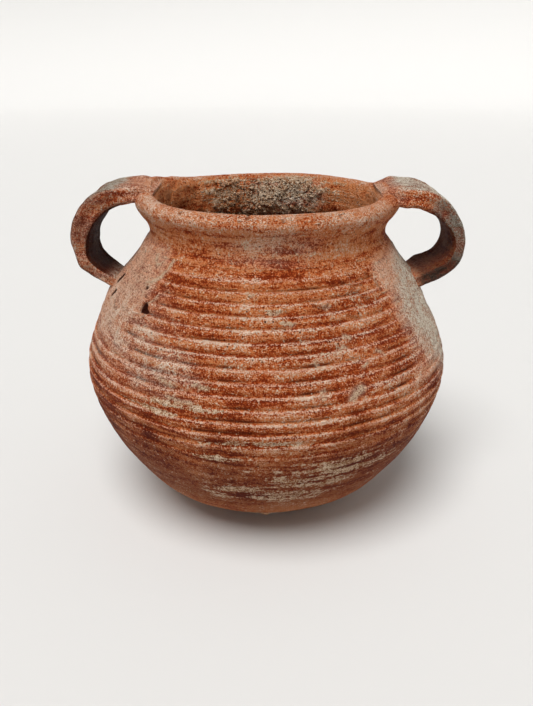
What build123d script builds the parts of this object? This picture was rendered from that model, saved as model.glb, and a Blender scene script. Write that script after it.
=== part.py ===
"""Small round-bodied clay pot with a ribbed wall, an everted rim and two strap handles.

Millimetres. Z is up, the origin is the centre of the small flat resting spot, and the
handles stand on the X axis. The pot is made the way a potter puts it together: a thrown
belly, a closed base, a neck with its rim, two pulled straps, and the wads of luting clay
that hold each strap at the rim and on the shoulder.
"""

import math
import os

from build123d import *

# Driving dimensions
RIM_Z = 113.0  # height of the rim above the resting spot
BODY_R = 65.0  # widest radius, at the crest of the ribs
EQUATOR_Z = 53.0  # height of the widest place
WALL = 3.6  # thickness of the thrown wall
FLOOR = 5.0  # thickness of the closed base at its centre
REST_R = 13.0  # radius of the flattened resting spot

# Neck and rim
SHOULDER_Z = 97.0  # where the ribbed shoulder ends and the smooth neck starts
SHOULDER_R = 42.4
THROAT_R = 40.4  # narrowest place on the outside
THROAT_Z = 101.5
LIP_R = 43.8  # outermost place of the rolled lip
LIP_Z = 110.4
MOUTH_R = 36.6  # straight wall inside the neck, where a lid or stopper goes
MOUTH_LENGTH = 8.0
MOUTH_TOP_Z = 109.0
LIP_INNER_R = 38.2  # inner edge of the lip
LIP_TOP_R = 40.6  # top of the roll
LIP_UNDER = (43.3, 108.2)  # where the neck's curve runs into the roll
LIP_INSIDE = [(37.1, 111.1), (LIP_INNER_R, 112.4), (39.1, 112.9)]  # the roll inside the mouth

# Base
BASE_TOP_Z = 13.0  # the scraped base is closed up to here
BASE_TURN = (39.3, 8.6)  # a place on the outside, half-way up the curve of the base
FLOOR_R = 8.0  # flat middle of the floor inside
FLOOR_TURN = (28.0, 7.3)  # a place on the inside of the base's curve

# Throwing ribs
RIB_TOP_Z = 94.0
RIB_COUNT = 15
RIB_PITCH = 2.9  # height of the uppermost rib
RIB_GROWTH = 0.09  # each rib is this much taller than the one above
RIB_DEPTH = 0.55
RIB_GROOVE_AT = 0.78  # the groove lies this far down each rib
RIB_SLOPE = 0.3  # share of the depth reached half-way down to the groove

# Handles: the middle line of each strap, from the top of the rim round to the shoulder
STRAP_WIDTH = 24.0
STRAP_THICKNESS = 4.9
STRAP_CORNER = 1.9
STRAP_PATHS = {
    "left": [
        (36.0, 112.4),
        (40.5, 113.7),
        (45.5, 113.7),
        (51.0, 112.9),
        (56.0, 111.1),
        (60.4, 107.6),
        (63.6, 102.8),
        (64.4, 97.6),
        (63.2, 92.6),
        (60.0, 88.2),
        (55.2, 85.0),
        (50.0, 82.6),
        (44.0, 80.4),
    ],
    "right": [
        (36.0, 112.0),
        (40.5, 113.2),
        (45.0, 113.2),
        (50.0, 112.7),
        (55.0, 111.3),
        (60.0, 107.9),
        (63.4, 103.2),
        (64.4, 98.0),
        (63.8, 93.0),
        (61.0, 89.2),
        (56.6, 86.2),
        (51.0, 84.0),
        (45.0, 82.0),
    ],
}
SIDES = {"left": -1, "right": 1}

# Luting clay at the rim: part of a ring laid along the lip, thinning out to both sides
RIM_CLAY_R = 41.8
RIM_CLAY_Z = 110.7
RIM_CLAY_THICKNESS = 8.2
RIM_CLAY_SPREAD = (9.0, 25.0, 7.0)  # half-sizes of the egg that trims the ring
MOUTH_EDGE_R = 39.2  # the clay is wiped away inside the mouth at this radius

# Luting clay on the shoulder: a lump round the strap's end on a wide shallow smear
SHOULDER_LUMP_AT = (50.6, 81.4)
SHOULDER_LUMP = (6.2, 15.4, 5.2)  # half-sizes out, round and up
SMEAR_R = 39.0
SMEAR_Z = 76.0
SMEAR_THICKNESS = 1.2
SMEAR_LEAN_OVER = 4.0  # height over which the shoulder's lean is taken

# Cutting forms
REACH = 200.0  # longer than the pot on every side
MARGIN = 10.0  # how far a form stands out past the face it cuts
OVERLAP = 0.01  # how far the hollow's own curve rises past the rim

# The outside of the belly without its ribs, from the base up to the neck
BELLY = [
    (44.9, BASE_TOP_Z),
    (52.6, 22.6),
    (59.6, 33.8),
    (63.6, 43.6),
    (BODY_R, EQUATOR_Z),
    (63.2, 63.2),
    (57.8, 74.6),
    (50.2, 85.8),
    (SHOULDER_R, SHOULDER_Z),
]
BASE_SLOPE = (math.cos(math.radians(48.0)), math.sin(math.radians(48.0)))
NECK_SLOPE = (-0.40, 1.0)
LIP_SLOPE = (0.35, 1.0)


def belly_curve(inset=0.0):
    """The belly's smooth outline, moved inwards by inset."""
    outline = Spline(BELLY, tangents=[BASE_SLOPE, NECK_SLOPE])
    if not inset:
        return outline
    steps = 14
    points = []
    for i in range(steps + 1):
        at = i / steps
        tangent = outline % at
        place = outline @ at
        points.append((place.X - inset * tangent.Y, place.Y + inset * tangent.X))
    return Spline(points)


def radius_at(outline, height):
    """Radius of an outline at a height, by halving its length."""
    low, high = 0.0, 1.0
    for _ in range(40):
        middle = (low + high) / 2
        if (outline @ middle).Y < height:
            low = middle
        else:
            high = middle
    return (outline @ low).X


def rib_edges(outline):
    """The ribbed stretch: each rib is a long arc in to its groove and a short arc out."""
    bottoms = [RIB_TOP_Z - RIB_PITCH * i - RIB_GROWTH * i * (i - 1) / 2 for i in range(RIB_COUNT + 1)]
    crests = [(radius_at(outline, z), z) for z in bottoms]
    edges = []
    for upper, lower in zip(crests, crests[1:]):
        groove_z = upper[1] + (lower[1] - upper[1]) * RIB_GROOVE_AT
        groove = (radius_at(outline, groove_z) - RIB_DEPTH, groove_z)
        slope_z = (upper[1] + groove_z) / 2
        slope = (radius_at(outline, slope_z) - RIB_SLOPE * RIB_DEPTH, slope_z)
        edges.append(ThreePointArc(upper, slope, groove))
        edges.append(Line(groove, lower))
    return edges, crests[0], crests[-1]


def outer_form():
    """The whole pot as a solid lump: base, ribbed belly, neck and lip."""
    outline = belly_curve()
    ribs, rib_top, rib_bottom = rib_edges(outline)
    below = []
    above = []
    steps = 6
    for i in range(steps + 1):
        z = BASE_TOP_Z + (rib_bottom[1] - BASE_TOP_Z) * i / steps
        below.append((radius_at(outline, z), z))
        z = rib_top[1] + (SHOULDER_Z - rib_top[1]) * i / steps
        above.append((radius_at(outline, z), z))
    lip_top = (LIP_TOP_R, RIM_Z)
    edges = [
        Line((0, 0), (REST_R, 0)),
        ThreePointArc((REST_R, 0), BASE_TURN, BELLY[0]),
        Spline(below),
        *ribs,
        Spline(above),
        Spline([BELLY[-1], (THROAT_R, THROAT_Z), LIP_UNDER], tangents=[NECK_SLOPE, LIP_SLOPE]),
        ThreePointArc(LIP_UNDER, (LIP_R, LIP_Z), lip_top),
        Line(lip_top, (0, RIM_Z)),
        Line((0, RIM_Z), (0, 0)),
    ]
    return revolve(Plane.XZ * make_face(edges), Axis.Z)


def hollow_form():
    """The space inside the pot, from the floor out through the mouth."""
    outline = belly_curve(WALL)
    bottom = outline @ 0
    top = outline @ 1
    mouth_low = (MOUTH_R, MOUTH_TOP_Z - MOUTH_LENGTH)
    mouth_top = (MOUTH_R, MOUTH_TOP_Z)
    inside_low, inside_edge, inside_high = LIP_INSIDE
    lip_top = (LIP_TOP_R, RIM_Z + OVERLAP)
    edges = [
        Line((0, FLOOR), (FLOOR_R, FLOOR)),
        Spline([(FLOOR_R, FLOOR), FLOOR_TURN, (bottom.X, bottom.Y)], tangents=[(1, 0), BASE_SLOPE]),
        outline,
        Spline([(top.X, top.Y), mouth_low], tangents=[outline % 1, (0, 1)]),
        Line(mouth_low, mouth_top),
        ThreePointArc(mouth_top, inside_low, inside_edge),
        ThreePointArc(inside_edge, inside_high, lip_top),
        Line(lip_top, (LIP_TOP_R, RIM_Z + MARGIN)),
        Line((LIP_TOP_R, RIM_Z + MARGIN), (0, RIM_Z + MARGIN)),
        Line((0, RIM_Z + MARGIN), (0, FLOOR)),
    ]
    return revolve(Plane.XZ * make_face(edges), Axis.Z)


def slab(low, high):
    """A wide slab between two heights."""
    return Pos(0, 0, (low + high) / 2) * Box(REACH, REACH, high - low)


def strap(name):
    """One handle before it is cut to the pot."""
    path = Spline([(SIDES[name] * x, 0, z) for x, z in STRAP_PATHS[name]])
    section = Plane(origin=path @ 0, x_dir=(0, 1, 0), z_dir=path % 0)
    outline = section * RectangleRounded(STRAP_WIDTH, STRAP_THICKNESS, STRAP_CORNER)
    return sweep(outline, path=path)


def egg(name, place, half_sizes):
    """An egg-shaped lump centred on one side of the pot."""
    x, z = place
    return Pos(SIDES[name] * x, 0, z) * scale(Sphere(1.0), by=half_sizes)


def rim_clay(name):
    """A length of ring along the lip, tapered to nothing at both ends."""
    ring = Pos(0, 0, RIM_CLAY_Z) * Torus(RIM_CLAY_R, RIM_CLAY_THICKNESS / 2)
    return ring & egg(name, (RIM_CLAY_R, RIM_CLAY_Z), RIM_CLAY_SPREAD)


def smear(name):
    """A ball whose surface stands just proud of the shoulder under a strap."""
    outline = belly_curve()
    surface_r = radius_at(outline, SMEAR_Z)
    above_r = radius_at(outline, SMEAR_Z + SMEAR_LEAN_OVER)
    lean = math.atan2(surface_r - above_r, SMEAR_LEAN_OVER)
    sink = SMEAR_R - SMEAR_THICKNESS
    x = surface_r - sink * math.cos(lean)
    z = SMEAR_Z - sink * math.sin(lean)
    return Pos(SIDES[name] * x, 0, z) * Sphere(SMEAR_R)


def largest(shape):
    """The biggest solid of a cut, without the slivers left in the grooves."""
    return max(shape.solids(), key=lambda solid: solid.volume)


def main():
    lump = outer_form()
    shell = lump - hollow_form()
    mouth = Pos(0, 0, RIM_Z) * Cylinder(MOUTH_EDGE_R, REACH)
    nodes = {
        "base_cap": shell & slab(-MARGIN, BASE_TOP_Z),
        "belly_wall": shell & slab(BASE_TOP_Z, SHOULDER_Z),
        "neck_and_rim": shell & slab(SHOULDER_Z, RIM_Z + MARGIN),
    }
    for name in SIDES:
        handle = largest(strap(name) - lump - mouth)
        rim_wad = rim_clay(name) - lump - mouth - handle
        shoulder_wad = (egg(name, SHOULDER_LUMP_AT, SHOULDER_LUMP) + smear(name)) - lump - handle
        nodes[f"{name}_handle"] = handle
        nodes[f"{name}_rim_wad"] = largest(rim_wad)
        nodes[f"{name}_shoulder_wad"] = largest(shoulder_wad)
    os.makedirs("parts", exist_ok=True)
    for name, shape in nodes.items():
        export_step(shape, f"parts/{name}.step")


main()
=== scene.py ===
"""A small round-bodied cooking pot of red earthenware with a ribbed wall and two strap handles."""

import math

import bpy
import numpy as np
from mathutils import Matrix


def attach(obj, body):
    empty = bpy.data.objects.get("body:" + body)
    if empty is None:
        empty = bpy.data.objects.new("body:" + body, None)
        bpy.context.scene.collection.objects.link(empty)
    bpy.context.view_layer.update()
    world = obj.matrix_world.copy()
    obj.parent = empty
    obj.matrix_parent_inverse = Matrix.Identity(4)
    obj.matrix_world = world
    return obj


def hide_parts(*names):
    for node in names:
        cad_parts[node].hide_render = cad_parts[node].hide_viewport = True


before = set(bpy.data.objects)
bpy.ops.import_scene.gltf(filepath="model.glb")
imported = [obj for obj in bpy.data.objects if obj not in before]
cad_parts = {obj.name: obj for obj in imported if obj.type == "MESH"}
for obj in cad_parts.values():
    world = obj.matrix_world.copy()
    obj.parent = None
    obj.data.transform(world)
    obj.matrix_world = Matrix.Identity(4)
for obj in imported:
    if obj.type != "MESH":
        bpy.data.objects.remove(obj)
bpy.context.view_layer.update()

# THE BELLY
# A thrown wall of coarse red earthenware, fired without a glaze. The fingers left one rib that
# climbs round the wall in a slow spiral, and wet clay was smeared over it at the foot of each strap.
MM = 0.001
COLUMNS = 458
REST_TOP = 13.0  # height of the seam between the scraped base and the thrown wall
NECK_FOOT = 97.0  # height where the neck begins
OUTSIDE = [
    (40.0, 9.0), (45.2, 13.0), (51.6, 21.0), (56.7, 29.0), (60.6, 37.0), (63.4, 45.0), (64.8, 53.0),
    (64.4, 58.0), (62.3, 65.0), (58.5, 73.0), (53.5, 81.0), (47.8, 89.0), (42.6, 97.0), (40.5, 101.5),
]
WALL = 3.6
RIB_TOP = 94.0
RIB_FOOT = 42.0  # below this height the ribs fade into fine turning lines
FOOT_OF_STRAP = 82.0
TOP_OF_STRAP = 109.0
SWAY = 0.45  # how far the neck and the belly stand off one axis
DENT_AT, DENT_REACH, DENT_DEPTH = (-4, 79), (32, 7.5), 1.3  # angle and height, reach in both, depth
# The two smears: centre, reach one way and the other round the pot, lowest and highest place
SMEARS = [(180, 42, 34, 70, 99), (0, 30, 38, 64, 96)]


def smooth_line(points, count=400):
    """Evenly spaced places on a smooth line through a few points. Spacing is by the first two values."""
    points = np.array(points, float)
    knots = np.concatenate([[0], np.cumsum(np.linalg.norm(np.diff(points[:, :2], axis=0), axis=1))])
    slopes = np.gradient(points, knots, axis=0)
    fine = np.linspace(0, knots[-1], 60 * len(points))
    k = np.clip(np.searchsorted(knots, fine, side="right") - 1, 0, len(knots) - 2)
    span = (knots[k + 1] - knots[k])[:, None]
    t = (fine - knots[k])[:, None] / span
    line = (
        points[k] * (1 + 2 * t) * (1 - t) ** 2
        + slopes[k] * span * t * (1 - t) ** 2
        + points[k + 1] * t * t * (3 - 2 * t)
        + slopes[k + 1] * span * t * t * (t - 1)
    )
    walked = np.concatenate([[0], np.cumsum(np.linalg.norm(np.diff(line[:, :2], axis=0), axis=1))])
    even = np.linspace(0, walked[-1], count)
    return np.stack([np.interp(even, walked, line[:, c]) for c in range(points.shape[1])], 1)


def soft_step(low, high, value):
    """0 below low, 1 above high and an S between them."""
    t = np.clip((value - low) / (high - low), 0, 1)
    return t * t * (3 - 2 * t)


def unevenness(places, size, seed):
    """Smooth random values from -1 to 1 with lumps of about size."""
    lattice = np.random.default_rng(seed).uniform(-1, 1, (32, 32, 32))
    at = places / size + 400.5
    cell = np.floor(at).astype(int)
    t = at - cell
    t = t * t * (3 - 2 * t)
    total = 0.0
    for corner in np.ndindex(2, 2, 2):
        share = np.prod(np.where(corner, t, 1 - t), axis=-1)
        i, j, k = ((cell + corner) % 32).T
        total = total + share * lattice[i, j, k]
    return total


def skin_mesh(name, rows, joined):
    """A closed mesh from rings of places in millimetres. The last ring joins the first, or both
    ends close at a tip."""
    count, around = rows.shape[:2]
    places = rows.reshape(-1, 3)
    ring = np.arange(around)
    step = np.roll(ring, -1)
    last = count if joined else count - 1
    faces = []
    for i in range(last):
        a, b = i * around, ((i + 1) % count) * around
        faces.append(np.stack([a + ring, a + step, b + step, b + ring], 1))
    faces = np.concatenate(faces).tolist()
    if not joined:
        tips = [rows[0].mean(0), rows[-1].mean(0)]
        places = np.concatenate([places, tips])
        start, end = len(places) - 2, len(places) - 1
        faces += [(start, b, a) for a, b in zip(ring.tolist(), step.tolist())]
        top = (count - 1) * around
        faces += [(end, top + a, top + b) for a, b in zip(ring.tolist(), step.tolist())]
    mesh = bpy.data.meshes.new(name)
    mesh.from_pydata((places * MM).tolist(), [], faces)
    mesh.polygons.foreach_set("use_smooth", np.ones(len(mesh.polygons), bool))
    piece = bpy.data.objects.new(name, mesh)
    bpy.context.scene.collection.objects.link(piece)
    return piece


def mark(piece, name, values):
    """Writes one value for each place of a mesh as a named attribute."""
    if name not in piece.data.attributes:
        piece.data.attributes.new(name, "FLOAT", "POINT")
    piece.data.attributes[name].data.foreach_set("value", np.asarray(values, np.float32))


def places_of(piece):
    """The places and the outward directions of a mesh, in millimetres."""
    count = len(piece.data.vertices)
    places, facing = np.empty(count * 3), np.empty(count * 3)
    piece.data.vertices.foreach_get("co", places)
    piece.data.vertices.foreach_get("normal", facing)
    return places.reshape(-1, 3) / MM, facing.reshape(-1, 3)


def move_to(piece, places):
    piece.data.vertices.foreach_set("co", (places * MM).ravel())
    piece.data.update()


def around_axis(places):
    """Angle round the pot in degrees, 0 at the right strap and -90 at the front."""
    return np.degrees(np.arctan2(places[:, 1], places[:, 0]))


def from_angle(angle, centre):
    """How far an angle is from another, from -180 to 180."""
    return (angle - centre + 180) % 360 - 180


def smear_at(places):
    """Where wet clay was smeared over the ribs: 1 inside the two smears, 0 outside."""
    angle, height = around_axis(places), places[:, 2]
    ragged = 7.0 * unevenness(places, 8.0, 11) + 2.0 * unevenness(places, 2.5, 12)
    total = 0.0
    for centre, ahead, back, low, high in SMEARS:
        turned = from_angle(angle, centre) + ragged
        sideways = 1 - soft_step(ahead - 4, ahead + 4, turned)
        sideways = sideways * (1 - soft_step(back - 4, back + 4, -turned))
        above = soft_step(low - 5, low + 4, height + 0.5 * ragged)
        below = 1 - soft_step(high - 2, high + 3, height)
        total = np.maximum(total, sideways * above * below)
    return total


def root_swell(places):
    """How far the wall swells to meet the ends of the straps, in millimetres."""
    height = places[:, 2]
    across = np.maximum(np.abs(places[:, 1]) - 9.0, 0)
    total = 0.0
    for middle, half, rise in ((FOOT_OF_STRAP, 2.0, 1.2), (TOP_OF_STRAP, 1.0, 1.2)):
        along = np.maximum(np.abs(height - middle) - half, 0)
        total = total + rise * np.exp(-(across**2 + along**2) / 5.0**2)
    return total


def hand_thrown(places, facing, outside):
    """The lean, the dents and the uneven surface of a wall that was thrown and handled wet."""
    angle, height = around_axis(places), places[:, 2]
    moved = places.copy()
    moved[:, 0] -= SWAY * (1 - soft_step(66, 90, height)) + SWAY * (1 - soft_step(0, 30, height))
    sideways, upright = from_angle(angle, DENT_AT[0]) / DENT_REACH[0], (height - DENT_AT[1]) / DENT_REACH[1]
    wiped = 0.30 + 0.30 * unevenness(places, 4.0, 3) + 0.12 * unevenness(places, 1.6, 4)
    out = 0.20 * unevenness(places, 26.0, 1) + 0.10 * unevenness(places, 9.0, 2)
    out = out - outside * DENT_DEPTH * np.exp(-(sideways**2) - upright**2)
    out = out + outside * smear_at(places) * wiped
    out = out + outside * root_swell(places)
    out = out + outside * 0.05 * unevenness(places, 1.5, 5)
    return moved + facing * out[:, None]


def pits(places, facing, outside, spots):
    """Presses small hollows, given as angle, height, radius and depth, into the outside of a wall."""
    angle, height = around_axis(places), places[:, 2]
    reach = np.hypot(places[:, 0], places[:, 1])
    out = np.zeros(len(places))
    for turn, level, radius, depth in spots:
        across = np.radians(from_angle(angle, turn)) * reach
        far = np.hypot(across, height - level) / radius
        out = np.maximum(out, depth * np.clip(1 - far * far, 0, 1))
    return places - facing * (outside * out)[:, None], out


def scar(places, path, half_width):
    """1 along a line drawn on the wall through angles and heights, falling to 0 away from it."""
    angle, height = around_axis(places), places[:, 2]
    reach = np.hypot(places[:, 0], places[:, 1])
    nearest = np.full(len(places), 99.0)
    for (turn, level), (next_turn, next_level) in zip(path, path[1:]):
        across, up = np.radians(from_angle(angle, turn)) * reach, height - level
        run, rise = np.radians(next_turn - turn) * reach, next_level - level
        t = np.clip((across * run + up * rise) / (run * run + rise * rise), 0, 1)
        nearest = np.minimum(nearest, np.hypot(across - t * run, up - t * rise))
    return np.exp(-((nearest / half_width) ** 2))


def drawn(places, outside, strokes):
    """The strongest of several lines at each place. Each line has a strength, a half-width and a path."""
    total = np.zeros(len(places))
    for strength, half_width, path in strokes:
        total = np.maximum(total, strength * outside * scar(places, path, half_width))
    return total


def lumps(places, facing, spots):
    """Raises small rounded lumps, given as a place, a radius and a height."""
    out = 0.0
    for x, y, z, radius, height in spots:
        out = out + height * np.exp(-(np.sum((places - (x, y, z)) ** 2, axis=1) / radius**2))
    return places + facing * out[:, None]


def lathe(radii, heights, turns):
    """Rings of places from radii and heights, with a place at each turn."""
    level = np.outer(heights, np.ones(len(turns)))
    return np.stack([np.outer(radii, np.cos(turns)), np.outer(radii, np.sin(turns)), level], 2)


# Rows of the outside: from, to and how many, closest where the ribs are
OUTER_ROWS = [(REST_TOP, 40.0, 36), (40.0, 94.6, 158), (94.6, NECK_FOOT, 6)]
# The inside is plain, so it has few rows, with a close pair at each seam
INNER_LEVELS = np.concatenate(
    [[REST_TOP, REST_TOP + 0.4], np.linspace(17, 93, 16), [NECK_FOOT - 0.4, NECK_FOOT]]
)

line = smooth_line(OUTSIDE)
levels = [np.linspace(low, high, rows)[:-1] for low, high, rows in OUTER_ROWS]
levels = np.concatenate(levels + [[NECK_FOOT]])
turns = np.linspace(-np.pi, np.pi, COLUMNS, endpoint=False)
outer_radii = np.interp(levels, line[:, 1], line[:, 0])
few_radii = np.interp(INNER_LEVELS, line[:, 1], line[:, 0])
inner_radii = few_radii - WALL * np.hypot(1.0, np.gradient(few_radii, INNER_LEVELS))
rows = np.concatenate([lathe(outer_radii, levels, turns), lathe(inner_radii, INNER_LEVELS, turns)[::-1]])
belly = skin_mesh("belly_wall_ribbed", rows, joined=True)
places, facing = places_of(belly)
outside = np.repeat([1.0, 0.0], [len(levels) * COLUMNS, len(INNER_LEVELS) * COLUMNS])
height = places[:, 2]

# Flaws of the wall. A pit is an angle, a height, a radius and a depth.
LOOSE_PITS = 110
PITS_AT_SMEAR = [
    (-137.8, 83.2, 1.5, 1.4), (-141.2, 88.0, 0.8, 0.8), (-140.2, 85.9, 0.7, 0.5), (-136.4, 80.4, 0.9, 0.4),
]
# The rest are lines: strength, half-width and a path of angles and heights
RING_MARK = [(-141 + 3.0 * math.cos(a), 96.3 + 1.9 * math.sin(a)) for a in np.linspace(0.5, 6.0, 12)]
LIFTED_EDGES = [
    (1.15, 0.6, [(-132.8, 97.0), (-134.3, 94.0), (-136.7, 91.5), (-139.9, 89.6), (-142.2, 88.8)]),
    (0.92, 0.55, [(-133.4, 86.6), (-136.6, 84.2), (-138.6, 81.0)]),
    (0.92, 0.6, RING_MARK),
]
SCRATCHES = [
    (1.0, 0.42, path)
    for path in (
        [(-60, 92.5), (-56, 91.0), (-51, 90.8)], [(-57, 90.0), (-53, 87.6), (-50, 86.8)],
        [(-74, 87.4), (-70, 86.6), (-68, 87.6)], [(-62, 84.0), (-57, 82.6)],
        [(-47, 93.5), (-43, 90.5), (-42, 87.0)], [(-160, 80), (-157, 78), (-155, 79)],
    )
]
CRACKS = [
    (1.8, 0.55, [(-166.2, 86.1), (-167.3, 83.9)]), (1.8, 0.5, [(-164.7, 81.4), (-165.2, 80.0)]),
    (1.0, 0.5, [(-138.4, 82.4), (-135.8, 82.0)]),
]
SPLASHES_OF_LIME = [
    (1.1, 1.25, [(-63.0, 64.4), (-64.6, 63.8), (-65.9, 62.2)]), (1.1, 0.8, [(-74.4, 65.3), (-74.3, 63.7)]),
    (1.1, 0.45, [(-75.8, 73.8), (-75.3, 71.9), (-74.2, 71.8)]), (1.1, 0.45, [(-90.0, 86.3), (-86.6, 86.1)]),
    (1.1, 0.4, [(-84.5, 83.6), (-82.0, 82.9), (-81.2, 83.4)]), (1.1, 0.5, [(-65, 79.0), (-63.4, 78.0)]),
    (1.1, 0.45, [(-68, 75.2), (-66.6, 76.4), (-65.2, 75.9)]), (1.1, 0.5, [(-61, 70.2), (-59.6, 70.9)]),
    (1.1, 0.4, [(-70.6, 87.6), (-69.3, 86.4), (-67.8, 86.9)]),
    (1.1, 0.4, [(-97.5, 91.0), (-95.9, 90.2), (-94.8, 90.6)]),
    (1.1, 0.45, [(-55.0, 73.5), (-53.2, 72.7), (-52.8, 71.6)]),
    (1.1, 0.55, [(-118, 62.0), (-113.5, 61.4), (-110, 61.7)]),
    (1.1, 0.6, [(-121, 66.4), (-117, 65.4)]), (1.1, 0.5, [(-110, 66.9), (-106.5, 66.1)]),
]
DROPS = [(-5, -52.6, 22.0, 1.2, 0.3), (18.0, -61.5, 62.4, 1.5, 0.4)]  # place, radius and height

rng = np.random.default_rng(7)
loose_pits = [
    (rng.uniform(-180, 180), rng.uniform(16, 96), rng.uniform(0.5, 1.0), rng.uniform(0.08, 0.30))
    for _ in range(LOOSE_PITS)
]
smear = smear_at(places)
lifted = sum(
    strength * outside * scar(places, path, half_width) for strength, half_width, path in LIFTED_EDGES
)
scratched = drawn(places, outside, SCRATCHES)
cracked = drawn(places, outside, CRACKS)
ribbed = soft_step(RIB_FOOT - 8, RIB_FOOT + 14, height) * (1 - soft_step(93.6, 95.6, height))
mark(belly, "rib", outside * ribbed * (1 - 0.93 * smear))
mark(belly, "turned", outside * (1 - 0.7 * smear) * (1 - 0.7 * ribbed))
mark(belly, "smear", outside * smear)
mark(belly, "lifted", np.maximum(lifted, drawn(places, outside, SPLASHES_OF_LIME)))
shaped = hand_thrown(places, facing, outside)
shaped, pressed = pits(shaped, facing, outside, PITS_AT_SMEAR + loose_pits)
shaped = shaped + facing * (0.45 * lifted - 0.30 * scratched - 0.5 * cracked)[:, None]
mark(belly, "pit", pressed + 0.35 * scratched + cracked)
move_to(belly, lumps(shaped, facing, DROPS))


def linear(code):
    """An sRGB hex colour as linear red, green, blue and alpha."""
    parts = [int(code[i : i + 2], 16) / 255 for i in (1, 3, 5)]
    return (*(p / 12.92 if p <= 0.04045 else ((p + 0.055) / 1.055) ** 2.4 for p in parts), 1.0)


def add(tree, kind, links=None, stops=None, curve=None, **settings):
    """Adds one node with its settings, its links or values by input, and its ramp or curve, and
    gives its outputs."""
    node = tree.nodes.new(kind)
    for key, value in settings.items():
        setattr(node, key, value)
    for key, value in (links or {}).items():
        if isinstance(value, bpy.types.NodeSocket):
            tree.links.new(value, node.inputs[key])
        else:
            node.inputs[key].default_value = value
    if stops:
        ramp = node.color_ramp.elements
        while len(ramp) < len(stops):
            ramp.new(0.5)
        for element, (place, colour) in zip(ramp, stops):
            element.position = place
            element.color = linear(colour) if isinstance(colour, str) else (colour, colour, colour, 1)
    if curve:
        points = node.mapping.curves[0].points
        while len(points) < len(curve):
            points.new(0.5, 0.5)
        for point, place in zip(points, curve):
            point.location = place
        node.mapping.update()
    return node.outputs


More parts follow.
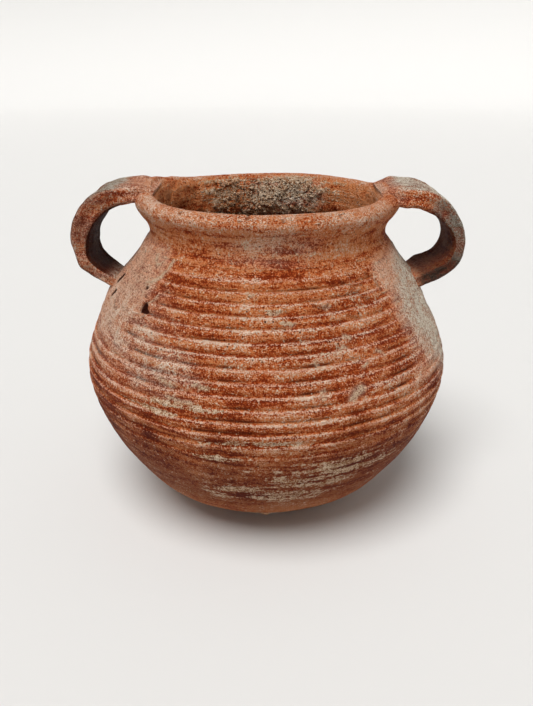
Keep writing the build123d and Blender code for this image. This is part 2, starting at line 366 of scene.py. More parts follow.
def clay_skin():
    """Unglazed red earthenware, fired in an open kitchen fire and long buried. The open, gritty
    surface has no shine: it shows as orange-red clay, pale chalky dust on everything that stands
    proud, brown dirt with painted shade in what lies deep, and grey where smoke or lime reached it.
    Painted light brightens the foot, and painted shade darkens the inner faces of the straps."""
    material = bpy.data.materials.new("unglazed_red_earthenware")
    material.use_nodes = True
    tree = material.node_tree
    tree.nodes.clear()
    spot = add(tree, "ShaderNodeTexCoord")["Object"]
    height = add(tree, "ShaderNodeSeparateXYZ", {0: spot})["Z"]
    level = add(tree, "ShaderNodeMapping", {"Vector": spot, "Scale": (0.10, 0.10, 1.0)})[0]
    named = {
        name: add(tree, "ShaderNodeAttribute", attribute_name=name)["Fac"]
        for name in (
            "groove", "crest", "smear", "soot", "film", "crust", "pit", "dust", "roots", "lifted", "warm"
        )
    }
    # grain sizes of the surface in metres, from clouds in the fire's colouring down to single
    # grains of sand; the noise lies mostly within 0.067 of 0.5, which is stretched to -1 to 1
    spread = {}
    for name, place, size, detail, rough in (
        ("cloud", spot, 0.020, 4.0, 0.6), ("blotch", spot, 0.0055, 4.0, 0.7),
        ("streak", level, 0.0020, 4.0, 0.7),
        ("speck", spot, 0.0010, 3.0, 0.75), ("grit", spot, 0.00042, 1.0, 0.6),
    ):
        value = add(
            tree, "ShaderNodeTexNoise",
            {"Vector": place, "Scale": 1 / size, "Detail": detail, "Roughness": rough},
        )[0]
        spread[name] = add(
            tree, "ShaderNodeMapRange",
            {"Value": value, "From Min": 0.433, "From Max": 0.567, "To Min": -1.0, "To Max": 1.0},
            clamp=False,
        )[0]

    def mixture(start, **shares):
        """Adds up the surface's patterns and marks in the given shares."""
        total = start
        for name, share in shares.items():
            total = add(
                tree, "ShaderNodeMath", {0: spread.get(name) or named[name], 1: share, 2: total},
                operation="MULTIPLY_ADD",
            )[0]
        return total

    # the fired clay: orange-red, deeper in bands that follow the turning, darker in the grooves,
    # partly as painted shade; the warm mark brightens it, as painted light low on the pot and on
    # the foot, and as brighter clay on the lip and inside the neck
    tone = mixture(
        0.66, streak=0.18, cloud=0.08, speck=0.14, blotch=0.08, grit=0.12, groove=-0.16, warm=0.30
    )
    colour = add(
        tree, "ShaderNodeValToRGB", {0: tone},
        stops=[(0.20, "#822c0c"), (0.42, "#b24c1e"), (0.60, "#ca6836"), (0.80, "#dc8c58")],
    )[0]
    # darker and greyer towards the bottom of the belly, with less dust there; left out on the foot, which is
    # kept bright as painted light
    low = mixture(0.0, streak=0.0015, cloud=0.003)
    low = add(tree, "ShaderNodeMath", {0: low, 1: height}, operation="ADD")[0]
    low = add(
        tree, "ShaderNodeMapRange", {"Value": low, "From Min": 0.057, "From Max": 0.037, "To Max": 1.0}
    )[0]
    under = add(tree, "ShaderNodeMapRange", {"Value": height, "From Min": 0.005, "From Max": 0.022})[0]
    low = add(tree, "ShaderNodeMath", {0: low, 1: under}, operation="MULTIPLY")[0]
    colour = add(
        tree, "ShaderNodeMix", {0: low, 6: colour, 7: linear("#b6a8a2")}, data_type="RGBA",
        blend_type="MULTIPLY",
    )[2]

    # smeared clay at the straps: buff, with the marks of wiping
    buff = mixture(0.68, speck=0.16, blotch=0.10, grit=0.12)
    buff = add(tree, "ShaderNodeMath", {0: buff, 1: named["smear"]}, operation="MULTIPLY")[0]
    colour = add(tree, "ShaderNodeMix", {0: buff, 6: colour, 7: linear("#ecba9a")}, data_type="RGBA")[2]

    # chalky dust in single grains: thick on the ribs' crests, thin everywhere, none in the grooves
    powder = mixture(
        -0.60, speck=0.50, grit=0.56, streak=0.32, blotch=0.26, cloud=0.22, dust=1.3, crest=2.7,
        groove=-1.3, smear=0.4,
    )
    powder = add(
        tree, "ShaderNodeMapRange", {"Value": powder, "From Min": -0.05, "From Max": 1.7, "To Max": 0.92},
        interpolation_type="SMOOTHSTEP",
    )[0]
    bare = add(tree, "ShaderNodeMapRange", {"Value": low, "To Min": 1.0, "To Max": 0.25})[0]
    powder = add(tree, "ShaderNodeMath", {0: powder, 1: bare}, operation="MULTIPLY")[0]
    chalk = mixture(0.5, grit=0.12, cloud=0.10, blotch=0.10)
    chalk = add(
        tree, "ShaderNodeValToRGB", {0: chalk},
        stops=[(0.25, "#de9270"), (0.55, "#eeb092"), (0.85, "#f8d8c0")],
    )[0]
    colour = add(tree, "ShaderNodeMix", {0: powder, 6: colour, 7: chalk}, data_type="RGBA")[2]

    # brown dirt and painted shade low in the grooves
    deep = add(tree, "ShaderNodeMath", {0: named["groove"], 1: 4.0}, operation="POWER")[0]
    dirt_and_shade = mixture(0.75, streak=0.20, speck=0.15, blotch=0.15)
    deep = add(tree, "ShaderNodeMath", {0: deep, 1: dirt_and_shade}, operation="MULTIPLY")[0]
    colour = add(tree, "ShaderNodeMix", {0: deep, 6: colour, 7: linear("#64280f")}, data_type="RGBA")[2]

    # smoke: a dull dark brown
    smoke = mixture(0.95, blotch=0.14, streak=0.10, speck=0.10, grit=0.06)
    smoke = add(tree, "ShaderNodeMath", {0: smoke, 1: named["soot"]}, operation="MULTIPLY")[0]
    colour = add(tree, "ShaderNodeMix", {0: smoke, 6: colour, 7: linear("#54483f")}, data_type="RGBA")[2]

    # a thin film of lime: beige grey, worn through in specks
    film = mixture(0.92, blotch=0.18, speck=0.16, grit=0.16, streak=0.05)
    film = add(tree, "ShaderNodeMath", {0: film, 1: named["film"]}, operation="MULTIPLY")[0]
    grey = mixture(0.5, speck=0.12, grit=0.14, blotch=0.10)
    grey = add(
        tree, "ShaderNodeValToRGB", {0: grey},
        stops=[(0.22, "#a8937b"), (0.48, "#d6c6ae"), (0.78, "#f2e8d8")],
    )[0]
    colour = add(tree, "ShaderNodeMix", {0: film, 6: colour, 7: grey}, data_type="RGBA")[2]

    # lime crust: beige, lumpy, dragged out along the turning lines
    cake = mixture(-1.35, crust=2.3, streak=0.75, speck=0.36, blotch=0.30)
    cake = add(
        tree, "ShaderNodeMapRange", {"Value": cake, "From Min": -0.05, "From Max": 0.60, "To Max": 0.8},
        interpolation_type="SMOOTHSTEP",
    )[0]
    near = add(tree, "ShaderNodeMapRange", {"Value": named["crust"], "From Min": 0.02, "From Max": 0.15})[0]
    cake = add(tree, "ShaderNodeMath", {0: cake, 1: near}, operation="MULTIPLY")[0]
    beige = mixture(0.5, speck=0.14, grit=0.16, blotch=0.10)
    beige = add(
        tree, "ShaderNodeValToRGB", {0: beige},
        stops=[(0.18, "#8c5832"), (0.48, "#c49c74"), (0.78, "#f0d8bc")],
    )[0]
    colour = add(tree, "ShaderNodeMix", {0: cake, 6: colour, 7: beige}, data_type="RGBA")[2]

    # threads left by roots, and the raised lip of a smear: cream lines
    winding = add(
        tree, "ShaderNodeTexNoise", {"Vector": spot, "Scale": 1 / 0.0045, "Detail": 1.0, "Distortion": 1.4}
    )[0]
    winding = add(tree, "ShaderNodeMath", {0: winding, 1: 0.5}, operation="SUBTRACT")[0]
    winding = add(tree, "ShaderNodeMath", {0: winding}, operation="ABSOLUTE")[0]
    thread = add(tree, "ShaderNodeMapRange", {"Value": winding, "From Min": 0.012, "From Max": 0.003})[0]
    sparse = mixture(-0.8, roots=1.7, blotch=0.42, speck=0.3)
    thread = add(tree, "ShaderNodeMath", {0: thread, 1: sparse}, operation="MULTIPLY", use_clamp=True)[0]
    pale = mixture(0.8, speck=0.2, grit=0.2)
    pale = add(tree, "ShaderNodeMath", {0: pale, 1: named["lifted"]}, operation="MULTIPLY")[0]
    pale = add(tree, "ShaderNodeMath", {0: pale, 1: thread}, operation="MAXIMUM")[0]
    colour = add(tree, "ShaderNodeMix", {0: pale, 6: colour, 7: linear("#e2c3a4")}, data_type="RGBA")[2]

    # earth packed in the pits and the scratches, and painted shade on the inner faces of the straps
    packed_earth_and_shade = mixture(-0.12, pit=1.7, grit=0.03)
    colour = add(tree, "ShaderNodeMix", {0: packed_earth_and_shade, 6: colour, 7: linear("#3c170a")}, data_type="RGBA")[2]

    # single grains of lime, white, and pinholes, dark
    grains = mixture(-3.9, speck=1.0, grit=0.9, blotch=0.4, streak=0.35, dust=0.5, soot=-2.0, pit=-2.0)
    grains = add(tree, "ShaderNodeMath", {0: grains, 1: 1.4}, operation="MULTIPLY", use_clamp=True)[0]
    colour = add(tree, "ShaderNodeMix", {0: grains, 6: colour, 7: linear("#f0dcc4")}, data_type="RGBA")[2]
    holes = add(
        tree, "ShaderNodeTexVoronoi", {"Vector": spot, "Scale": 1 / 0.0020, "Randomness": 1.0}
    )["Distance"]
    hole = add(tree, "ShaderNodeMapRange", {"Value": holes, "From Min": 0.19, "From Max": 0.08})[0]
    open_clay = mixture(0.20, cloud=0.35, blotch=0.4)
    hole = add(tree, "ShaderNodeMath", {0: hole, 1: open_clay}, operation="MULTIPLY", use_clamp=True)[0]
    colour = add(tree, "ShaderNodeMix", {0: hole, 6: colour, 7: linear("#5a240e")}, data_type="RGBA")[2]

    grain = mixture(0.5, grit=0.10, speck=0.13, streak=0.07, blotch=0.05)
    for value, share in ((powder, 0.12), (cake, 0.12), (thread, 0.35), (hole, -0.35), (deep, -0.15)):
        grain = add(tree, "ShaderNodeMath", {0: value, 1: share, 2: grain}, operation="MULTIPLY_ADD")[0]
    relief = add(tree, "ShaderNodeBump", {"Height": grain, "Distance": 0.0009, "Strength": 1.0})[0]
    dull = add(tree, "ShaderNodeMapRange", {"Value": powder, "To Min": 0.66, "To Max": 0.95})[0]
    surface = add(
        tree, "ShaderNodeBsdfPrincipled",
        {"Base Color": colour, "Roughness": dull, "Normal": relief, "Specular IOR Level": 0.08},
    )[0]
    add(tree, "ShaderNodeOutputMaterial", {"Surface": surface})
    return material


EARTHENWARE = clay_skin()


def throwing_ribs():
    """The spiral rib of a thrown wall, and the fine turning lines between. A rib has a long slope
    in to a narrow groove and a short ledge out to the next crest."""
    tree = bpy.data.node_groups.new("throwing_ribs", "GeometryNodeTree")
    sizes = {
        "Top": RIB_TOP * MM, "First Pitch": 2.9 * MM, "Pitch Growth": 0.09 * MM, "Depth": 0.78 * MM,
        "Start Turn": 0.25, "Line Depth": 0.30 * MM, "Line Pitch": 1.5 * MM, "Waver": 0.9 * MM,
    }
    tree.interface.new_socket("Geometry", in_out="INPUT", socket_type="NodeSocketGeometry")
    for name, value in sizes.items():
        tree.interface.new_socket(name, in_out="INPUT", socket_type="NodeSocketFloat").default_value = value
    tree.interface.new_socket("Clay", in_out="INPUT", socket_type="NodeSocketMaterial")
    tree.interface.new_socket("Geometry", in_out="OUTPUT", socket_type="NodeSocketGeometry")
    given = add(tree, "NodeGroupInput")
    spot = add(tree, "GeometryNodeInputPosition")[0]
    out = add(tree, "GeometryNodeInputNormal")[0]
    axes = add(tree, "ShaderNodeSeparateXYZ", {0: spot})
    wide = add(tree, "ShaderNodeTexNoise", {"Vector": spot, "Scale": 1 / 0.022, "Detail": 2.0})[0]
    waver = add(tree, "ShaderNodeMath", {0: wide, 1: 0.5}, operation="SUBTRACT")[0]
    waver = add(
        tree, "ShaderNodeMath", {0: waver, 1: given["Waver"], 2: axes["Z"]}, operation="MULTIPLY_ADD"
    )[0]
    drop = add(tree, "ShaderNodeMath", {0: given["Top"], 1: waver}, operation="SUBTRACT")[0]
    drop = add(tree, "ShaderNodeMath", {0: drop, 1: 0.0}, operation="MAXIMUM")[0]
    # the number of ribs down to this height, when each is taller than the one above
    squared = add(tree, "ShaderNodeMath", {0: given["First Pitch"], 1: 2.0}, operation="POWER")[0]
    growth = add(tree, "ShaderNodeMath", {0: given["Pitch Growth"], 1: 2.0}, operation="MULTIPLY")[0]
    inside = add(tree, "ShaderNodeMath", {0: growth, 1: drop, 2: squared}, operation="MULTIPLY_ADD")[0]
    root = add(tree, "ShaderNodeMath", {0: inside}, operation="SQRT")[0]
    root = add(tree, "ShaderNodeMath", {0: root, 1: given["First Pitch"]}, operation="SUBTRACT")[0]
    ribs = add(tree, "ShaderNodeMath", {0: root, 1: given["Pitch Growth"]}, operation="DIVIDE")[0]
    angle = add(tree, "ShaderNodeMath", {0: axes["Y"], 1: axes["X"]}, operation="ARCTAN2")[0]
    turn = add(tree, "ShaderNodeMath", {0: angle, 1: 2 * math.pi}, operation="DIVIDE")[0]
    turn = add(tree, "ShaderNodeMath", {0: turn, 1: given["Start Turn"]}, operation="ADD")[0]
    turn = add(tree, "ShaderNodeMath", {0: turn, 1: ribs}, operation="ADD")[0]
    along = add(tree, "ShaderNodeMath", {0: turn}, operation="FRACT")[0]
    section = add(
        tree, "ShaderNodeFloatCurve", {"Value": along},
        curve=[
            (0.0, 0.0), (0.10, 0.03), (0.45, 0.40), (0.70, 0.88), (0.78, 1.0), (0.85, 0.72), (0.95, 0.12),
            (1.0, 0.0),
        ],
    )[0]
    rib = add(tree, "GeometryNodeInputNamedAttribute", {"Name": "rib"}, data_type="FLOAT")["Attribute"]
    patchy = add(tree, "ShaderNodeTexNoise", {"Vector": spot, "Scale": 1 / 0.015, "Detail": 2.0})[0]
    patchy = add(
        tree, "ShaderNodeMapRange",
        {"Value": patchy, "From Min": 0.3, "From Max": 0.65, "To Min": 0.55, "To Max": 1.15},
    )[0]
    groove = add(tree, "ShaderNodeMath", {0: section, 1: rib}, operation="MULTIPLY")[0]
    groove = add(tree, "ShaderNodeMath", {0: groove, 1: patchy}, operation="MULTIPLY")[0]
    pressed = add(tree, "ShaderNodeMath", {0: groove, 1: given["Depth"]}, operation="MULTIPLY")[0]
    edge = add(
        tree, "ShaderNodeFloatCurve", {"Value": along},
        curve=[
            (0.0, 1.0), (0.05, 0.75), (0.11, 0.22), (0.20, 0.0), (0.90, 0.0), (0.95, 0.6), (0.985, 1.0),
            (1.0, 1.0),
        ],
    )[0]
    crest = add(tree, "ShaderNodeMath", {0: edge, 1: rib}, operation="MULTIPLY")[0]
    # the fine lines are long round the pot and narrow upwards
    level = add(tree, "ShaderNodeVectorMath", {0: spot, 1: (0.06, 0.06, 1.0)}, operation="MULTIPLY")[0]
    often = add(tree, "ShaderNodeMath", {0: 1.0, 1: given["Line Pitch"]}, operation="DIVIDE")[0]
    lines = add(tree, "ShaderNodeTexNoise", {"Vector": level, "Scale": often, "Detail": 3.0})[0]
    lines = add(tree, "ShaderNodeMath", {0: lines, 1: 0.5}, operation="SUBTRACT")[0]
    turned = add(
        tree, "GeometryNodeInputNamedAttribute", {"Name": "turned"}, data_type="FLOAT"
    )["Attribute"]
    lines = add(tree, "ShaderNodeMath", {0: lines, 1: turned}, operation="MULTIPLY")[0]
    lines = add(tree, "ShaderNodeMath", {0: lines, 1: given["Line Depth"]}, operation="MULTIPLY")[0]
    move = add(tree, "ShaderNodeMath", {0: lines, 1: pressed}, operation="SUBTRACT")[0]
    move = add(tree, "ShaderNodeVectorMath", {0: out, "Scale": move}, operation="SCALE")[0]
    kept = add(
        tree, "GeometryNodeStoreNamedAttribute",
        {"Geometry": given["Geometry"], "Name": "groove", "Value": groove}, data_type="FLOAT",
        domain="POINT",
    )[0]
    kept = add(
        tree, "GeometryNodeStoreNamedAttribute", {"Geometry": kept, "Name": "crest", "Value": crest},
        data_type="FLOAT", domain="POINT",
    )[0]
    moved = add(tree, "GeometryNodeSetPosition", {"Geometry": kept, "Offset": move})[0]
    real = add(tree, "GeometryNodeRealizeInstances", {"Geometry": moved})[0]
    real = add(tree, "GeometryNodeSetMaterial", {"Geometry": real, "Material": given["Clay"]})[0]
    add(tree, "NodeGroupOutput", {"Geometry": real})
    return tree


RIBS = throwing_ribs()


def grown(piece, tree, **inputs):
    """Runs a node tree on a piece, with inputs by name, and keeps the result as its plain mesh."""
    step = piece.modifiers.new(tree.name, "NODES")
    step.node_group = tree
    for item in tree.interface.items_tree:
        if item.in_out == "INPUT" and item.name in inputs:
            step[item.identifier] = inputs[item.name]
    bpy.context.view_layer.update()
    state = bpy.context.evaluated_depsgraph_get()
    mesh = bpy.data.meshes.new_from_object(
        piece.evaluated_get(state), preserve_all_data_layers=True, depsgraph=state
    )
    piece.modifiers.remove(step)
    piece.data = mesh
    mesh.name = piece.name
    mesh.update()
    return piece


grown(belly, RIBS, Clay=EARTHENWARE)
places, facing = places_of(belly)
angle, height = around_axis(places), places[:, 2]


def patch(angle, height, turn, level, half_turn, half_height):
    """1 at the middle of a patch on the wall, falling to 0 at twice its half-sizes."""
    far = np.hypot(from_angle(angle, turn) / half_turn, (height - level) / half_height)
    return np.clip(1.0 - far / 2, 0, 1)


def patched(angle, height, patches):
    """The strongest of several patches at each place. Each has a strength, then what patch takes."""
    return np.max([strength * patch(angle, height, *size) for strength, *size in patches], axis=0)


LIME_FILM = [
    (3.0, -2, 77, 20, 11), (1.2, -12, 65, 10, 8), (0.45, -124, 67.5, 9, 4.5), (0.35, -150, 76, 18, 9)
]
DEPOSITS = [
    (1.4, -97, 50.2, 9, 1.0), (1.4, -70, 37.5, 15, 3.2), (1.4, -76, 33, 10, 2.0), (1.4, -88, 26.5, 13, 2.4),
    (1.4, -108, 66.5, 4, 0.9), (1.4, -112, 60.0, 8, 0.7), (1.4, -73, 75.6, 3.0, 1.0), (1.4, -88, 86.0, 2.4, 0.7),
    (1.4, -83, 83.4, 2.6, 0.6), (1.4, -100, 30.0, 7, 1.2), (1.4, -120, 57, 6, 0.7), (1.4, -105, 44, 6, 0.9),
    (1.4, 60, 60, 14, 3), (1.4, 110, 40, 18, 4), (1.4, 150, 66, 10, 3), (1.4, 100, 82, 12, 2.5),
    (1.4, 40, 30, 12, 3),
]
ROUGHENED = [(1.0, -54, 88, 12, 5), (0.8, -72, 76, 9, 4), (0.6, -140, 92, 10, 6)]
roughened = sum(strength * patch(angle, height, *size) for strength, *size in ROUGHENED)
# painted light: the clay is brightened towards the foot of the belly
mark(belly, "warm", 0.9 * (1 - soft_step(15, 27, height)))
mark(belly, "film", np.clip(patched(angle, height, LIME_FILM), 0, 1))
mark(belly, "crust", np.clip(patched(angle, height, DEPOSITS), 0, 1))
mark(belly, "roots", np.clip(0.15 + roughened + 0.4 * smear_at(places), 0, 1))
mark(belly, "dust", -0.22 + 0.68 * np.exp(-(((height - 66) / 18) ** 2)) + 0.30 * roughened)
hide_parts("belly_wall")
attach(belly, "root")

# THE BASE
# The round closed foot of the same wall, scraped with a blade when leather-hard, with one small
# flat spot that it rests on. It is the brownest part, where the fire reached it.
BASE_OUTSIDE = [(13.0, 0.0), (22.0, 1.5), (31.0, 4.3), (39.8, 9.0), (45.2, REST_TOP)]
FLOOR_INSIDE = [(inner_radii[0], REST_TOP), (34.0, 8.6), (22.0, 6.2), (8.0, 5.0), (1.0, 5.0)]
REST_ROWS = 14  # rows on the flat resting spot
PIP = [(-0.6, -42.8, 11.2, 1.4, 0.7)]  # place, radius and height
DEPOSIT_ON_BASE = (-86, 12.5, 17, 4.2)

base_outline = smooth_line(BASE_OUTSIDE, 44)
radii = np.concatenate([np.linspace(0.6, 12.4, REST_ROWS), base_outline[:, 0]])
heights = np.concatenate([np.zeros(REST_ROWS), base_outline[:, 1]])
floor_line = smooth_line(FLOOR_INSIDE, 24)
floor_line = np.insert(floor_line, 1, 0.8 * floor_line[0] + 0.2 * floor_line[1], axis=0)
rows = np.concatenate([lathe(radii, heights, turns), lathe(floor_line[:, 0], floor_line[:, 1], turns)])
base = skin_mesh("base_scraped", rows, joined=False)
places, facing = places_of(base)
tips = [1.0, 0.0]
outside = np.concatenate([np.repeat([1.0, 0.0], [len(radii) * COLUMNS, len(floor_line) * COLUMNS]), tips])
shaped = hand_thrown(places, facing, outside)
flat = outside * (1 - soft_step(0.1, 0.8, places[:, 2]))
shaped[:, 2] = np.maximum(shaped[:, 2] * (1 - flat), np.where(outside > 0, 0.0, 1.0))
move_to(base, lumps(shaped, facing, PIP))
mark(base, "rib", np.zeros(len(places)))
mark(base, "turned", outside * (1 - flat))
grown(base, RIBS, Clay=EARTHENWARE)
places, facing = places_of(base)
mark(base, "crust", np.clip(1.8 * patch(around_axis(places), places[:, 2], *DEPOSIT_ON_BASE), 0, 1))
# painted light: the whole foot is brightened and dusted paler
mark(base, "warm", np.full(len(places), 0.9))
mark(base, "dust", np.full(len(places), 0.30))
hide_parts("base_cap")
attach(base, "root")

# THE NECK AND RIM
# The short neck was thrown smooth, then its edge was folded out and rolled to a round lip. Inside,
# soil and lime have baked on as a lumpy crust.
NECK_COLUMNS = 640
LIP = [
    (42.6, 97.0), (40.9, 99.6), (40.5, 102.0), (41.1, 105.0), (42.6, 107.6), (43.7, 109.4), (43.6, 111.3),
    (42.4, 112.6), (40.6, 112.95), (39.0, 112.3), (37.9, 110.8), (37.1, 108.4), (36.8, 105.0),
    (36.9, 101.5), (38.9, 97.0),
]
RIM_RISES = [(2.5, 167, 24), (1.5, 2, 17)]  # height, angle and reach where the rim meets each strap
BEHIND = (92, 46)  # middle and reach, in degrees, of the thick crust
CRUST_THICKNESS = 0.95
CHIPS = [
    (-98, 112.5, 0.8, 0.45), (-101, 111.6, 0.6, 0.35), (-84, 111.8, 0.7, 0.4),
    (-60, 112.0, 0.8, 0.4), (-128, 112.2, 0.9, 0.4), (-70, 110.2, 0.7, 0.3),
]
LIP_LUMPS = [(-36.2, 22.0, 112.6, 2.6, 0.5), (-5.6, -43.4, 110.6, 1.1, 0.5)]
SMOOTH_LIME = (76, 106, 13, 5)
FILM_ON_NECK = (-89, 103.4, 15, 4.0)
ROOTS_ON_NECK = (-86, 104, 26, 6)

lip_line = smooth_line(LIP, 120)
neck_turns = np.linspace(-np.pi, np.pi, NECK_COLUMNS, endpoint=False)
neck = skin_mesh("neck_and_rolled_rim", lathe(lip_line[:, 0], lip_line[:, 1], neck_turns), joined=True)
places, facing = places_of(neck)
angle, height = around_axis(places), places[:, 2]
reach = np.hypot(places[:, 0], places[:, 1])
outside = soft_step(39.5, 40.3, reach)
inside = 1 - soft_step(38.0, 39.6, reach)
behind = np.exp(-((from_angle(angle, BEHIND[0]) / BEHIND[1]) ** 2))
rough = 0.5 + 0.5 * unevenness(places, 4.2, 21)
rough = rough + 0.35 * unevenness(places, 2.3, 22) + 0.1 * unevenness(places, 1.1, 23)
caked = inside * np.clip(rough + 0.75 * behind - 0.40, 0, 1.3) * (1 - soft_step(110.0, 112.4, height))
shaped = hand_thrown(places, facing, outside)
for rise, centre, half_turn in RIM_RISES:
    lift = rise * np.exp(-((from_angle(angle, centre) / half_turn) ** 2))
    shaped[:, 2] += lift * soft_step(106.5, 112, height)
shaped = shaped + facing * (CRUST_THICKNESS * caked + 0.06 * unevenness(places, 1.2, 24))[:, None]
shaped, chipped = pits(shaped, facing, np.ones(len(places)), CHIPS)
move_to(neck, lumps(shaped, facing, LIP_LUMPS))
on_lip = soft_step(105, 110.5, height) * (1 - inside)
lime_inside = 1.3 * inside * patch(angle, height, *SMOOTH_LIME)
lime_outside = 0.30 * outside * patch(angle, height, *FILM_ON_NECK)
roots = inside * (0.1 + 1.1 * behind) + outside * (0.3 + patch(angle, height, *ROOTS_ON_NECK))
mark(neck, "rib", np.zeros(len(places)))
mark(neck, "turned", 0.6 * outside)
mark(neck, "smear", 0.8 * outside * smear_at(places))
mark(neck, "pit", chipped)
mark(neck, "warm", inside * (0.4 + 0.8 * (1 - behind) ** 2) + on_lip)
mark(neck, "crust", np.clip(inside * (1.15 * behind - 0.1) * (0.35 + 0.75 * caked), 0, 1))
mark(neck, "film", np.clip(lime_inside + lime_outside, 0, 1))
mark(neck, "roots", np.clip(roots, 0, 1))
mark(neck, "dust", (-0.30 + 1.30 * soft_step(105.5, 110.5, height)) * (1 - inside) - 0.3 * inside)


def baked_crumbs():
    """Crumbs of soil and lime stuck to a wall: small angular grains, thickest where the crust is."""
    tree = bpy.data.node_groups.new("baked_crumbs", "GeometryNodeTree")
    tree.interface.new_socket("Geometry", in_out="INPUT", socket_type="NodeSocketGeometry")
    sizes = {
        "Grains per Square Metre": 600000.0, "Smallest": 0.30 * MM, "Largest": 0.95 * MM,
        "Crust Needed": 0.45,
    }
    for name, value in sizes.items():
        tree.interface.new_socket(name, in_out="INPUT", socket_type="NodeSocketFloat").default_value = value
    tree.interface.new_socket("Seed", in_out="INPUT", socket_type="NodeSocketInt").default_value = 5
    tree.interface.new_socket("Clay", in_out="INPUT", socket_type="NodeSocketMaterial")
    tree.interface.new_socket("Geometry", in_out="OUTPUT", socket_type="NodeSocketGeometry")
    given = add(tree, "NodeGroupInput")
    crust = add(tree, "GeometryNodeInputNamedAttribute", {"Name": "crust"}, data_type="FLOAT")["Attribute"]
    enough = add(
        tree, "FunctionNodeCompare", {0: crust, 1: given["Crust Needed"]}, data_type="FLOAT",
        operation="GREATER_THAN",
    )[0]
    points = add(
        tree, "GeometryNodeDistributePointsOnFaces",
        {
            "Mesh": given["Geometry"], "Selection": enough, "Density": given["Grains per Square Metre"],
            "Seed": given["Seed"],
        },
        distribute_method="RANDOM",
    )["Points"]
    grain = add(tree, "GeometryNodeMeshIcoSphere", {"Radius": 1.0, "Subdivisions": 1})["Mesh"]
    grain = add(
        tree, "GeometryNodeStoreNamedAttribute", {"Geometry": grain, "Name": "crust", "Value": 1.0},
        data_type="FLOAT", domain="POINT",
    )[0]
    size = add(
        tree, "FunctionNodeRandomValue", {2: given["Smallest"], 3: given["Largest"], "Seed": given["Seed"]},
        data_type="FLOAT",
    )[1]
    flat = add(tree, "ShaderNodeCombineXYZ", {"X": size, "Y": size, "Z": size})[0]
    squash = add(
        tree, "FunctionNodeRandomValue", {0: (0.6, 0.6, 0.4), 1: (1.6, 1.2, 0.8), "Seed": 9},
        data_type="FLOAT_VECTOR",
    )[0]
    flat = add(tree, "ShaderNodeVectorMath", {0: flat, 1: squash}, operation="MULTIPLY")[0]
    turn = add(
        tree, "FunctionNodeRandomValue", {0: (0, 0, 0), 1: (6.28, 6.28, 6.28), "Seed": 4},
        data_type="FLOAT_VECTOR",
    )[0]
    placed = add(
        tree, "GeometryNodeInstanceOnPoints",
        {"Points": points, "Instance": grain, "Rotation": turn, "Scale": flat},
    )[0]
    both = add(tree, "GeometryNodeJoinGeometry")
    tree.links.new(placed, both["Geometry"].node.inputs[0])
    tree.links.new(given["Geometry"], both["Geometry"].node.inputs[0])
    real = add(tree, "GeometryNodeRealizeInstances", {"Geometry": both["Geometry"]})[0]
    real = add(tree, "GeometryNodeSetMaterial", {"Geometry": real, "Material": given["Clay"]})[0]
    add(tree, "NodeGroupOutput", {"Geometry": real})
    return tree


CRUMBS = baked_crumbs()
grown(neck, RIBS, Clay=EARTHENWARE)
grown(neck, CRUMBS, Clay=EARTHENWARE)
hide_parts("neck_and_rim")
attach(neck, "root")

# THE HANDLES
# Each is a strap pulled from a lump of clay, bent in an ear, and pressed on wet at the rim and on
# the shoulder. The luting clay is wiped round both ends, so strap and clay are one piece here.
# Each station: out from the axis, height, thickness, width, how far the strap drifts back.
STRAPS = {
    "left": [
        (38.6, 111.8, 6.0, 25, 1), (42.0, 113.1, 6.0, 25, 1), (47.0, 113.2, 6.4, 25, 0.5),
        (52.0, 112.3, 7.2, 25, 0), (56.8, 109.9, 7.8, 25, 0), (60.3, 106.2, 7.7, 25, 0),
        (62.8, 101.2, 7.0, 24, 0), (63.4, 96.0, 5.6, 24, 0), (62.7, 91.4, 4.6, 23, 0),
        (60.2, 87.8, 4.0, 21, 0), (56.4, 84.9, 3.8, 19, -0.5), (52.6, 82.5, 4.2, 17, -1),
        (48.6, 80.2, 5.2, 17, -1),
    ],
    "right": [
        (38.6, 111.2, 6.2, 26, 0), (42.0, 112.4, 6.6, 26, 0), (46.5, 112.5, 7.2, 26, 0),
        (51.5, 112.0, 7.4, 26, 0), (56.2, 110.0, 7.0, 25, 0), (60.5, 106.4, 5.8, 24, 0),
        (63.9, 101.4, 4.6, 24, 0), (64.9, 96.8, 4.2, 24, 0), (64.0, 92.2, 4.6, 24, 0),
        (61.4, 88.8, 5.0, 23, 0), (57.4, 86.2, 5.2, 22, 0), (53.4, 84.2, 5.4, 21, 0),
        (49.4, 82.4, 6.0, 21, 0),
    ],
}
STRAP_ALONG = 220
STRAP_AROUND = 112
KNOBS = {
    "left": [(-63.4, -9.5, 89.4, 2.6, 0.8), (-66.0, -10.0, 98.0, 3.0, 0.4), (-44.0, 11.0, 116.0, 4.0, 0.3)],
    "right": [(53.5, 9.5, 88.4, 2.8, 1.2), (43.4, 10.5, 115.4, 2.2, 0.6), (46.0, -12.5, 110.5, 2.0, 0.8)],
}


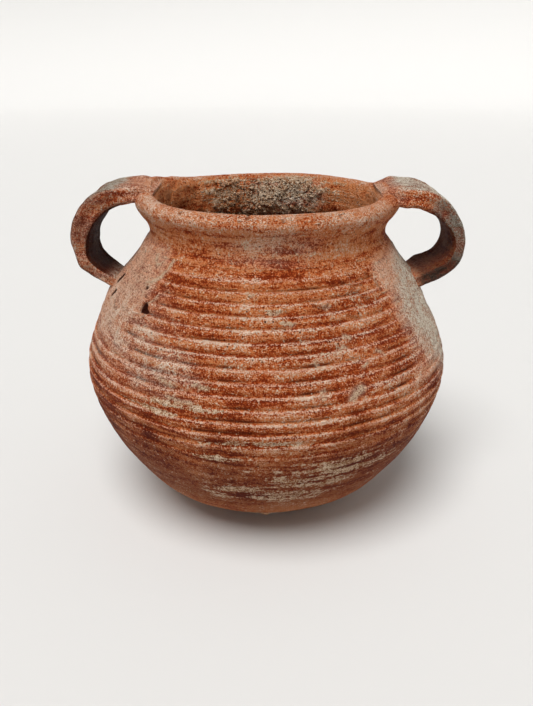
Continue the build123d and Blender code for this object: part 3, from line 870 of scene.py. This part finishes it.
def strap_rows(stations, side):
    """Rings of places round a strap, and three values for each: the way along, across and through it."""
    line = smooth_line(stations, STRAP_ALONG)
    ahead = np.gradient(line[:, :2], axis=0)
    ahead /= np.linalg.norm(ahead, axis=1)[:, None]
    out = np.stack([-ahead[:, 1], ahead[:, 0]], 1)
    turn = np.linspace(0, 2 * np.pi, STRAP_AROUND, endpoint=False)
    c, s = np.cos(turn), np.sin(turn)
    across = np.sign(c) * np.abs(c) ** 0.45
    through = np.sign(s) * np.abs(s) ** 0.50
    dish = 0.55 * np.exp(-((across / 0.45) ** 2))
    ridge = 0.25 * np.exp(-(((np.abs(across) - 0.8) / 0.14) ** 2))
    hollow = (dish - ridge) * (s > 0)
    depth = line[:, 2:3] / 2 * through - hollow
    x = (line[:, 0:1] + out[:, 0:1] * depth) * side
    z = line[:, 1:2] + out[:, 1:2] * depth
    channel = 1 - 0.07 * np.exp(-((through / 0.55) ** 2)) * (np.abs(across) > 0.75)
    y = line[:, 3:4] / 2 * across * channel + line[:, 4:5]
    along = np.linspace(0, 1, STRAP_ALONG)[:, None] + 0 * across
    rows = np.stack([x, y, z, along, across + 0 * along, through + 0 * along], 2)
    return rows if side > 0 else rows[:, ::-1]


for name, side in (("left", -1), ("right", 1)):
    rows = strap_rows(STRAPS[name], side)
    strap = skin_mesh(f"{name}_strap_handle", rows[..., :3], joined=False)
    places, facing = places_of(strap)
    along, across, through = np.concatenate([rows[..., 3:].reshape(-1, 3), [[0, 0, 0], [1, 0, 0]]]).T
    pulled = unevenness(np.stack([along * 8, across * 15, through * 5], 1), 1.0, 34)
    out = 0.28 * unevenness(places, 9.0, 31) + 0.16 * unevenness(places, 3.5, 32)
    out = out + 0.08 * unevenness(places, 1.4, 33) + 0.20 * pulled
    move_to(strap, lumps(places + facing * out[:, None], facing, KNOBS[name]))
    strap.data.materials.append(EARTHENWARE)
    sides = soft_step(0.45, 0.80, np.abs(facing[:, 1]))
    outer, inner = (1 - sides) * (through > 0), (1 - sides) * (through < 0)
    cloudy = 0.5 + 0.5 * unevenness(places, 6.0, 35)
    edge = np.exp(-(((np.abs(across) - 0.95) / 0.05) ** 2) - (((np.abs(through) - 0.80) / 0.20) ** 2))
    free = soft_step(0.06, 0.16, along) * (1 - soft_step(0.80, 0.95, along))
    near_rim = 1 - soft_step(0.22, 0.40, along)
    # painted shade: the inner faces of both straps are darkened with the colour of packed earth
    if side > 0:
        burnt = soft_step(0.26, 0.40, along + 0.06 * cloudy) * (1 - soft_step(0.90, 0.98, along))
        limed = soft_step(0.05, 0.14, along) * (1 - soft_step(0.30, 0.42, along))
        soot = burnt * (0.95 * outer + 0.35 * inner + 0.92 * sides)
        film = burnt * (0.34 * outer + 0.22 * sides) * (1 - soft_step(0.60, 0.76, along)) + limed * outer
        packed_earth_and_shade = burnt * (0.42 * inner + 0.30 * sides * soft_step(0.60, 0.78, along))
        roots = 0.35 * outer
        worn = 0.2
    else:
        darkened = 0.45 * outer * soft_step(0.20, 0.34, along)
        darkened = darkened + 0.30 * sides * cloudy * soft_step(0.15, 0.35, along)
        limed = 1.1 * outer * np.exp(-(((along - 0.24) / 0.07) ** 2))
        limed = limed + 0.6 * inner * soft_step(0.80, 0.92, along)
        soot = free * darkened
        film = limed + 0.35 * free * (sides + outer) * (1 - cloudy)
        packed_earth_and_shade = free * (0.62 * inner + 0.36 * sides * cloudy + 0.3 * outer) * soft_step(0.10, 0.25, along)
        roots = 0.35 * outer + 0.45 * sides
        worn = 1.1
    mark(strap, "soot", soot)
    mark(strap, "film", film)
    mark(strap, "crest", worn * edge * free * (0.5 + cloudy))
    mark(strap, "pit", packed_earth_and_shade)
    mark(strap, "smear", 0.5 * (1 - free))
    mark(strap, "roots", roots)
    # painted shade: less dust on the inner faces of the straps
    mark(strap, "dust", 0.22 - 0.9 * inner + 0.45 * near_rim - 0.35 * sides * free + 0.5 * (cloudy - 0.5))
    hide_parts(f"{name}_handle", f"{name}_rim_wad", f"{name}_shoulder_wad")
    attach(strap, "root")

# THE ROOM
# A pale floor that curves up into a low wall all round, under one large soft light and a pale sky,
# with the camera looking a little down into the mouth.
FLOOR_RADIUS = 2.2  # metres, where the floor begins to bend upwards
BEND = 0.8
WALL_TOP = 2.0
FLOOR_RINGS = 10
SIDES = 96

bend = np.linspace(0, np.pi / 2, 17)[1:]
flat_part = np.linspace(0.05, FLOOR_RADIUS, FLOOR_RINGS)
floor_radii = np.concatenate([flat_part, FLOOR_RADIUS + BEND * np.sin(bend), [FLOOR_RADIUS + BEND]])
lifts = np.concatenate([np.zeros(FLOOR_RINGS), BEND - BEND * np.cos(bend), [WALL_TOP]])
room_turns = np.linspace(-np.pi, np.pi, SIDES, endpoint=False)
ring = np.stack([np.cos(room_turns), np.sin(room_turns)], 1)
corners = [(radius * x, radius * y, z) for radius, z in zip(floor_radii, lifts) for x, y in ring]
faces = [tuple(range(SIDES))]
for i in range(len(floor_radii) - 1):
    low, high = SIDES * i, SIDES * (i + 1)
    for j in range(SIDES):
        after = (j + 1) % SIDES
        faces.append((low + j, high + j, high + after, low + after))
sweep = bpy.data.meshes.new("paper_sweep")
sweep.from_pydata(corners, [], faces)
sweep.polygons.foreach_set("use_smooth", np.ones(len(sweep.polygons), bool))
paper = bpy.data.objects.new("paper_sweep", sweep)
bpy.context.scene.collection.objects.link(paper)
white = bpy.data.materials.new("matt_white_paper")
white.use_nodes = True
white.node_tree.nodes["Principled BSDF"].inputs["Base Color"].default_value = linear("#d6d5d3")
white.node_tree.nodes["Principled BSDF"].inputs["Roughness"].default_value = 0.9
sweep.materials.append(white)

world = bpy.data.worlds.new("pale_room")
world.use_nodes = True
world.node_tree.nodes["Background"].inputs["Color"].default_value = linear("#fffdfa")
world.node_tree.nodes["Background"].inputs["Strength"].default_value = 0.32
bpy.context.scene.world = world
light = bpy.data.lights.new("soft_skylight", "SUN")
light.energy = 3.2
light.angle = math.radians(34)
skylight = bpy.data.objects.new("soft_skylight", light)
skylight.rotation_euler = (math.radians(24), math.radians(-9), 0)
bpy.context.scene.collection.objects.link(skylight)
bpy.context.scene.view_settings.view_transform = "Standard"

lens = bpy.data.cameras.new("camera")
lens.sensor_width = 36
lens.lens = 36.18
lens.shift_x = -0.0016
camera = bpy.data.objects.new("camera", lens)
camera.location = (0, -0.2461, 0.1554)
camera.rotation_euler = (math.radians(90 - 22.652), 0, 0)
bpy.context.scene.collection.objects.link(camera)
bpy.context.scene.camera = camera
